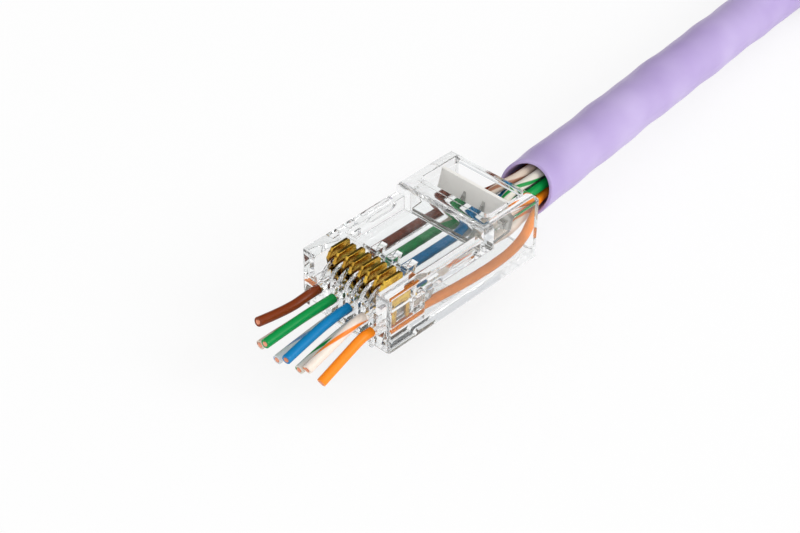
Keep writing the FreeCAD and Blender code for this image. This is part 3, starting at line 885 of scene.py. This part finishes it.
@dataclass
class ConductorSet:
    """The eight insulated conductors, from their cut tips through the plug into the jacket."""

    pitch: float = 1.02
    upper_row: float = 3.00
    lower_row: float = 1.80
    core_stub: float = 1.60 * MM
    mouth_heading: Point = (-4.35, 28.00, -2.30)
    mouth_ring: float = 1.50
    mouth_turn: float = math.radians(25)
    mouth_depth: float = 6.0
    around: int = 32
    spacing: float = 0.20 * MM
    straight_places: tuple[float, ...] = (-1.30, -0.55, 0.40, 4.80, 6.00)

    def bore(self, wire: Wire) -> tuple[float, float]:
        """Return the x and z of a conductor in its bore; odd ones lie in the lower row."""
        x = (len(Wire) + 1 - 2 * wire.value) / 2 * self.pitch
        return x, self.lower_row if wire.value % 2 else self.upper_row

    def in_mouth(self, wire: Wire, depth: float) -> np.ndarray:
        """Return a conductor's place in the ring inside the jacket.

        Args:
            wire: which conductor.
            depth: distance behind the jacket's cut end, in millimetres.

        Returns:
            The place, in millimetres.
        """
        heading = unit(np.array(self.mouth_heading))
        across, upward = cross_section(heading)
        angle = math.pi - self.mouth_turn - MOUTH_ORDER.index(wire) * 2 * math.pi / len(Wire)
        offset = across * math.cos(angle) + upward * math.sin(angle)
        return np.array(JACKET_MOUTH) + heading * depth + offset * self.mouth_ring

    def control_points(self, wire: Wire) -> np.ndarray:
        """Return a conductor's control points, from its cut tip into the jacket, in metres."""
        x, z = self.bore(wire)
        straight = [(x, y, z) for y in self.straight_places]
        rear = list(REAR_PLACES[wire])
        inside = [self.in_mouth(wire, 0.0), self.in_mouth(wire, self.mouth_depth)]
        return np.array([*FRONT_PLACES[wire], *straight, *rear, *inside]) * MM

    def sleeve(self, wire: Wire, path: np.ndarray) -> bpy.types.Object:
        """Build one conductor's insulation.

        The cut end is a bored ring: its rings go from deep in the bore to the end face, round the
        outer edge and along the path. The far end is closed by a ring of no radius.

        Args:
            wire: which conductor.
            path: its centre line, in metres.

        Returns:
            The piece.
        """
        outer = INSULATION_RADIUS
        bore = CORE_RADIUS * 1.04
        end = np.array([(0.5 * MM, 0.0), (0.5 * MM, bore), (0.01 * MM, bore), (0.0, bore + 0.02 * MM),
                        (0.0, outer - 0.05 * MM), (0.02 * MM, outer - 0.01 * MM)])
        points, uv, quads = lathe_tube(end, path, outer, self.around)
        name = "insulation_" + wire.label
        piece = link_mesh(f"sleeve_{wire.label}", points, quads, "plug", INSULATION[wire], uv)
        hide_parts(name)
        return piece

    def core(self, wire: Wire, path: np.ndarray) -> bpy.types.Object:
        """Build the copper at a conductor's cut end: a short rod with a slightly domed face.

        Args:
            wire: which conductor.
            path: the conductor's centre line, in metres.

        Returns:
            The piece.
        """
        radius = CORE_RADIUS
        end = np.array([(-CORE_PROUD, 0.0), (-CORE_PROUD, radius * 0.6),
                        (-CORE_PROUD * 0.7, radius * 0.88), (-CORE_PROUD * 0.2, radius)])
        stub = path[: int(self.core_stub / self.spacing)]
        points, uv, quads = lathe_tube(end, stub, radius, self.around)
        piece = link_mesh(f"core_{wire.label}", points, quads, "plug", BARE_COPPER, uv)
        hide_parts("copper_" + wire.label)
        return piece

    def build(self) -> list[bpy.types.Object]:
        """Build every conductor's insulation and copper and return the pieces."""
        pieces = []
        for wire in Wire:
            path = smooth_route(self.control_points(wire), self.spacing)
            pieces += [self.sleeve(wire, path), self.core(wire, path)]
            LOG.info("%s: conductor of %d rings", wire.label, len(path))
        return pieces


# ---- Cable -------------------------------------------------------------------------------------
@dataclass
class Hank:
    """The cable's spare length: two long loops, one on the other, drawn together at the waist by a tie.

    Places are millimetres. Heights are given for the cable's centre line.
    """

    middle_x: float = -8.0
    near_fold: float = 104.0
    far_fold: float = 170.0
    fold_radius: float = 17.4
    waist_length: float = 12.0
    waist_half: float = 2.95
    waist_lift: float = 0.90
    rest_height: float = -1.7237
    level_rise: float = 5.85
    flank_steps: int = 6
    fold_steps: int = 12

    def flank(self, fold: float, side: int, level: float, climb: float = 0.0) -> list[Point]:
        """Return control points from the waist out to a fold: two equal arcs that form an S.

        Args:
            fold: the fold's y.
            side: 1 for the +X side of the hank, -1 for the other side.
            level: how many cables lie below this one.
            climb: how many levels the run climbs on its way from the waist to the fold.

        Returns:
            The points, from the waist to the fold.
        """
        middle = (self.near_fold + self.far_fold) / 2
        direction = math.copysign(1, fold - middle)
        start = middle + direction * self.waist_length / 2
        along = abs(fold - start) / 2
        inward = (self.fold_radius - self.waist_half) / 2
        radius = (inward ** 2 + along ** 2) / (2 * inward)
        points = []
        for step in range(self.flank_steps + 1):
            share = step / self.flank_steps
            shift = 2 * along * share
            near = min(shift, 2 * along - shift)
            bow = radius - math.sqrt(radius ** 2 - near ** 2)
            half = self.waist_half + bow if share < 0.5 else self.fold_radius - bow
            eased = share * share * (3 - 2 * share)
            height = self.rest_height + self.level_rise * (level + climb * eased)
            height += self.waist_lift * (1 - eased)
            points.append((self.middle_x + side * half, start + direction * shift, height))
        return points

    def fold(self, y: float, from_side: int, level: float) -> list[Point]:
        """Return control points round a fold, between its two ends.

        Args:
            y: the fold's y.
            from_side: the side on which the run arrives, 1 or -1.
            level: how many cables lie below this one.

        Returns:
            The points.
        """
        bulge = math.copysign(1, y - (self.near_fold + self.far_fold) / 2)
        swell = 1 / math.cos(math.pi / (2 * self.fold_steps))
        height = self.rest_height + self.level_rise * level
        angles = [math.pi * step / self.fold_steps for step in range(1, self.fold_steps)]
        return [(self.middle_x + from_side * self.fold_radius * swell * math.cos(angle),
                 y + bulge * self.fold_radius * swell * math.sin(angle), height) for angle in angles]

    def control_points(self) -> list[Point]:
        """Return the whole hank: out on the -X side, two loops, and a tail past the waist."""
        points = []
        for level in (0, 1):
            points += self.flank(self.far_fold, -1, level)
            points += self.fold(self.far_fold, -1, level)
            points += self.flank(self.far_fold, 1, level)[::-1]
            points += self.flank(self.near_fold, 1, level, climb=1.0)
            if level == 0:
                points += self.fold(self.near_fold, 1, 1)
                points += self.flank(self.near_fold, -1, 1)[::-1]
        return points


@dataclass
class NetworkCable:
    """The lilac cable: its stripped mouth, a gentle lead to the hank, the hank and its cut far end.

    Attributes:
        lead: control points from the mouth to the hank, in millimetres.
        hank: the spare length.
        diameter: the jacket's outer diameter.
        bore: the jacket's inner diameter.
        length: the cable's length.
        spacing: distance between rings.
        around: places round a ring.
        lump_depth: height of the lumps, as a share of the radius.
        lump_start: how far from the mouth the lumps reach their full height.
        lumps: length, turns round the cable and weight of each wave that makes up the lumps.
        slant: how far the cut end leans, for each unit of height.
        slant_side: the direction across the cable in which that height is counted.
        slant_reach: how far along the cable the lean is felt.
        far_ring: radius of the ring in which the conductors lie at the far end.
        far_turn: the first conductor's turn in that ring, in steps from one to the next.
        far_reach: where each starts and ends, along the heading from the far end.
        far_rings: how many rings each has.
        far_around: places round each.
        far_bevel: the rounding of its cut end.
        finish: the jacket's finish.
        tie_finish: the tie's finish.
        tie_edge: the rounding of the tie's edges.
    """

    lead: tuple[Point, ...] = (JACKET_MOUTH, (-3.90, 54.0, 1.25), (-8.80, 88.0, -1.7237),
                               (-9.60, 110.5, -1.7237), (-10.9, 127.0, -0.90))
    hank: Hank = field(default_factory=Hank)
    diameter: float = 5.80 * MM
    bore: float = 4.40 * MM
    length: float = 0.52
    spacing: float = 0.8 * MM
    around: int = 48
    lump_depth: float = 0.016
    lump_start: float = 3 * MM
    lumps: tuple[Point, ...] = ((11.3 * MM, 2, 1.0), (6.1 * MM, -1, 0.7), (23.0 * MM, 3, 0.5))
    slant: float = 0.30
    slant_side: Point = (0.35, 0.0, 0.94)
    slant_reach: float = 2.5 * MM
    far_ring: float = 1.45 * MM
    far_turn: float = 0.3
    far_reach: tuple[float, float] = (0.15 * MM, -2.8 * MM)
    far_rings: int = 8
    far_around: int = 16
    far_bevel: float = 0.04 * MM
    finish: Finish = ExtrudedJacket("lilac_low_smoke_jacket")
    tie_finish: Finish = LoopFabric("loop_pile_nylon")
    tie_edge: float = 0.25 * MM

    def centre_line(self) -> np.ndarray:
        """Return the cable's centre line, cut to its length, in metres."""
        route = np.array([*self.lead, *self.hank.control_points()]) * MM
        path = smooth_route(route, self.spacing)
        return path[running_lengths(path) <= self.length]

    def shaped(self, points: np.ndarray, uv: np.ndarray, mouth: np.ndarray) -> np.ndarray:
        """Give the plain tube its lumps and its slanted cut end.

        The lumps are low sine waves of three lengths that also wind round the cable, as the pairs
        inside push the jacket out. The slant moves the rings near the mouth along the heading, in
        proportion to each point's height over the centre line.

        Args:
            points: the tube's points.
            uv: the tube's UV pairs, round and along.
            mouth: the centre of the mouth and the next point of the path.

        Returns:
            The moved points.
        """
        grid = points.reshape(-1, self.around, 3)
        turn = uv[:, 0].reshape(-1, self.around) * 2 * math.pi
        run = uv[:, 1].reshape(-1, self.around)
        centres = grid.mean(axis=1, keepdims=True)
        away = grid - centres
        lumps = sum(weight * np.sin(2 * math.pi * run / wave + winding * turn)
                    for wave, winding, weight in self.lumps)
        grow = 1 + self.lump_depth * lumps * np.clip(run / self.lump_start, 0, 1)
        heading = unit(mouth[1] - mouth[0])
        depth = (centres[:, 0, :] - mouth[0]) @ heading
        lean = self.slant * np.exp(-(depth / self.slant_reach) ** 2)
        shift = (away @ np.array(self.slant_side)) * lean[:, None]
        grid = centres + away * grow[..., None] + shift[..., None] * heading
        return grid.reshape(-1, 3)

    def far_conductors(self, path: np.ndarray) -> list[bpy.types.Object]:
        """Build the eight conductors' cut ends, a ring of four pairs, inside the far end's mouth.

        Args:
            path: the cable's centre line, in metres.

        Returns:
            The insulation pieces and the copper pieces.
        """
        heading = unit(path[-1] - path[-2])
        across, upward = cross_section(heading)
        bevel = self.far_bevel
        pieces = []
        for place, wire in enumerate(Wire):
            angle = (place + self.far_turn) * 2 * math.pi / len(Wire)
            offset = (across * math.cos(angle) + upward * math.sin(angle)) * self.far_ring
            line = path[-1] + offset + np.linspace(*self.far_reach, self.far_rings)[:, None] * heading
            for kind, radius, proud, finish in (("sleeve", INSULATION_RADIUS, 0.0, INSULATION[wire]),
                                                ("core", CORE_RADIUS, -CORE_PROUD, BARE_COPPER)):
                end = np.array([(proud, 0.0), (proud, radius - bevel), (proud + bevel, radius)])
                points, uv, quads = lathe_tube(end, line, radius, self.far_around)
                pieces.append(link_mesh(f"far_{kind}_{wire.label}", points, quads, "plug", finish, uv))
        return pieces

    def build(self) -> list[bpy.types.Object]:
        path = self.centre_line()
        outer = self.diameter / 2
        bore = self.bore / 2
        end = np.array([(11 * MM, 0.0), (11 * MM, bore), (4 * MM, bore), (1.0 * MM, bore + 0.16 * MM),
                        (0.2 * MM, bore + 0.28 * MM), (0.0, bore + 0.38 * MM), (0.0, outer - 0.10 * MM),
                        (0.08 * MM, outer), (0.3 * MM, outer)])
        far_end = ((0.03 * MM, outer - 0.03 * MM), (0.03 * MM, bore), (-2.5 * MM, bore), (-2.5 * MM, 0.0))
        points, uv, quads = lathe_tube(end, path, outer, self.around, far_end)
        points = self.shaped(points, uv, path[:2])
        cable = link_mesh("lilac_cable", points, quads, "plug", self.finish, uv)
        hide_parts("cable_jacket", "cable_hank")
        tie = SoftenedSolid("hank_tie", "loop_fabric_tie", "plug", self.tie_finish, "tie_loop_fabric",
                            self.tie_edge).build()
        self.far_conductors(path)
        LOG.info("cable: %.4f m long", running_lengths(path)[-1])
        return [cable, tie]


# ---- Studio ------------------------------------------------------------------------------------
@dataclass(frozen=True)
class SoftBox:
    """A square lamp that faces the plug.

    Attributes:
        name: the lamp's name.
        place: where it stands, in metres.
        size: its side, in metres.
        power: its power, in watts.
    """

    name: str
    place: Point
    size: float
    power: float

    def build(self, target: Vector) -> bpy.types.Object:
        """Put the lamp in the scene, turned to the target, and return it."""
        lamp = bpy.data.lights.new(self.name, "AREA")
        lamp.shape = "SQUARE"
        lamp.size = self.size
        lamp.energy = self.power
        holder = place_in_scene(self.name, lamp)
        holder.location = self.place
        holder.rotation_euler = (target - Vector(self.place)).to_track_quat("-Z", "Y").to_euler()
        return holder


@dataclass
class Studio:
    """White sweep, soft box, white surround and camera."""

    floor_height: float = -4.6237 * MM
    floor_half: float = 1.5
    target: Point = (0.0, 0.010, 0.002)
    lamps: tuple[SoftBox, ...] = (
        SoftBox("key_from_the_right_rear", (0.70, 0.28, 0.48), 0.36, 2.2),
    )
    lit_side: Point = (0.78, -0.38, 0.50)
    lit_strength: float = 1.16
    far_strength: float = 0.42
    lit_span: tuple[float, float] = (-0.5, 1.0)
    mirrored_strengths: tuple[float, float] = (0.25, 1.0)
    mirrored_span: tuple[float, float] = (-0.8, 0.3)
    card_side: Point = (-0.53, 0.58, 0.62)
    card_shades: Shades = ((0.0, "#FFFFFF"), (0.45, "#D6D9DC"), (0.88, "#62666B"))
    behind_shades: Shades = ((0.2, "#FFFFFF"), (0.9, "#DCDEE1"))
    internal_reflections: int = 24
    lens: float = 100.0
    camera_place: Point = (0.115105, -0.118409, 0.136832)
    camera_forward: Point = (-0.53112, 0.58207, -0.61572)
    camera_right: Point = (0.72907, 0.68420, 0.01791)

    def floor(self) -> bpy.types.Object:
        """Build the sweep that the plug and its cable lie on."""
        half = self.floor_half
        corners = [(-half, -half, self.floor_height), (half, -half, self.floor_height),
                   (half, half, self.floor_height), (-half, half, self.floor_height)]
        mesh = bpy.data.meshes.new("white_sweep")
        mesh.from_pydata(corners, [], [(0, 1, 2, 3)])
        mesh.materials.append(WhiteSweep("white_paper_sweep").material())
        sweep = place_in_scene("white_sweep", mesh)
        return sweep

    def surround(self) -> bpy.types.World:
        """Build the surround, which is white to the eye and bright on the plug's right.

        Dull surfaces take its light, which falls off from the lit side to the far side. What is
        mirrored on the outside of a shiny surface is white with one grey card, high behind the
        plug. What is seen through the clear plastic is white, a little greyer round the card.
        """
        world = bpy.data.worlds.new("white_tent")
        world.use_nodes = True
        tree = world.node_tree
        tree.nodes.clear()
        place = add_node(tree, "ShaderNodeTexCoord")
        facing = add_node(tree, "ShaderNodeVectorMath", {"operation": "DOT_PRODUCT"}, {
            0: place.outputs["Generated"], 1: Vector(self.card_side).normalized()})
        card = add_node(tree, "ShaderNodeValToRGB", inputs={"Fac": facing.outputs["Value"]})
        set_ramp(card, self.card_shades)
        behind = add_node(tree, "ShaderNodeValToRGB", inputs={"Fac": facing.outputs["Value"]})
        set_ramp(behind, self.behind_shades)
        lit = add_node(tree, "ShaderNodeVectorMath", {"operation": "DOT_PRODUCT"}, {
            0: place.outputs["Generated"], 1: Vector(self.lit_side).normalized()})
        level = add_node(tree, "ShaderNodeMapRange", {"interpolation_type": "SMOOTHSTEP"}, {
            "Value": lit.outputs["Value"], "From Min": self.lit_span[0], "From Max": self.lit_span[1],
            "To Min": self.far_strength, "To Max": self.lit_strength})
        soft = add_node(tree, "ShaderNodeBackground", inputs={
            "Color": linear("#FFFFFF"), "Strength": level.outputs["Result"]})
        side = add_node(tree, "ShaderNodeMapRange", inputs={
            "Value": lit.outputs["Value"],
            "From Min": self.mirrored_span[0], "From Max": self.mirrored_span[1],
            "To Min": self.mirrored_strengths[0], "To Max": self.mirrored_strengths[1]})
        mirrored = add_node(tree, "ShaderNodeBackground", inputs={
            "Color": card.outputs["Color"], "Strength": side.outputs["Result"]})
        bent = add_node(tree, "ShaderNodeBackground", inputs={"Color": behind.outputs["Color"]})
        seen = add_node(tree, "ShaderNodeBackground", inputs={"Color": linear("#FFFFFF")})
        path = add_node(tree, "ShaderNodeLightPath")
        shiny = mix_shaders(tree, path.outputs["Is Transmission Ray"], mirrored.outputs["Background"],
                            bent.outputs["Background"])
        indirect = mix_shaders(tree, direct_ray(tree), soft.outputs["Background"], shiny)
        chosen = mix_shaders(tree, path.outputs["Is Camera Ray"], indirect, seen.outputs["Background"])
        output = add_node(tree, "ShaderNodeOutputWorld")
        tree.links.new(chosen, output.inputs["Surface"])
        bpy.context.scene.world = world
        return world

    def camera(self) -> bpy.types.Object:
        """Build the camera from its place, its forward direction and its right-hand direction."""
        data = bpy.data.cameras.new("catalogue_camera")
        data.lens = self.lens
        data.clip_start = 0.005
        holder = place_in_scene("catalogue_camera", data)
        forward = Vector(self.camera_forward).normalized()
        right = Vector(self.camera_right).normalized()
        upward = right.cross(forward)
        turned = Matrix((right, upward, -forward)).transposed().to_4x4()
        holder.matrix_world = Matrix.Translation(self.camera_place) @ turned
        bpy.context.scene.camera = holder
        return holder

    def build(self) -> None:
        """Build the whole studio."""
        self.floor()
        self.surround()
        self.camera()
        for lamp in self.lamps:
            lamp.build(Vector(self.target))
        scene = bpy.context.scene
        scene.view_settings.view_transform = "Standard"
        scene.cycles.max_bounces = self.internal_reflections
        scene.cycles.glossy_bounces = self.internal_reflections
        scene.cycles.transmission_bounces = self.internal_reflections


def main() -> None:
    """Build every sub-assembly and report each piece."""
    logging.basicConfig(level=logging.INFO, format="%(message)s")
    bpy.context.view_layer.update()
    Studio().build()
    pieces = [*PlugShell().build(), *ContactRow().build(), *ConductorSet().build(), *NetworkCable().build()]
    for piece in pieces:
        LOG.info("%s: %d faces before modifiers", piece.name, len(piece.data.polygons))
    bpy.context.view_layer.update()


if __name__ == "__main__":
    main()
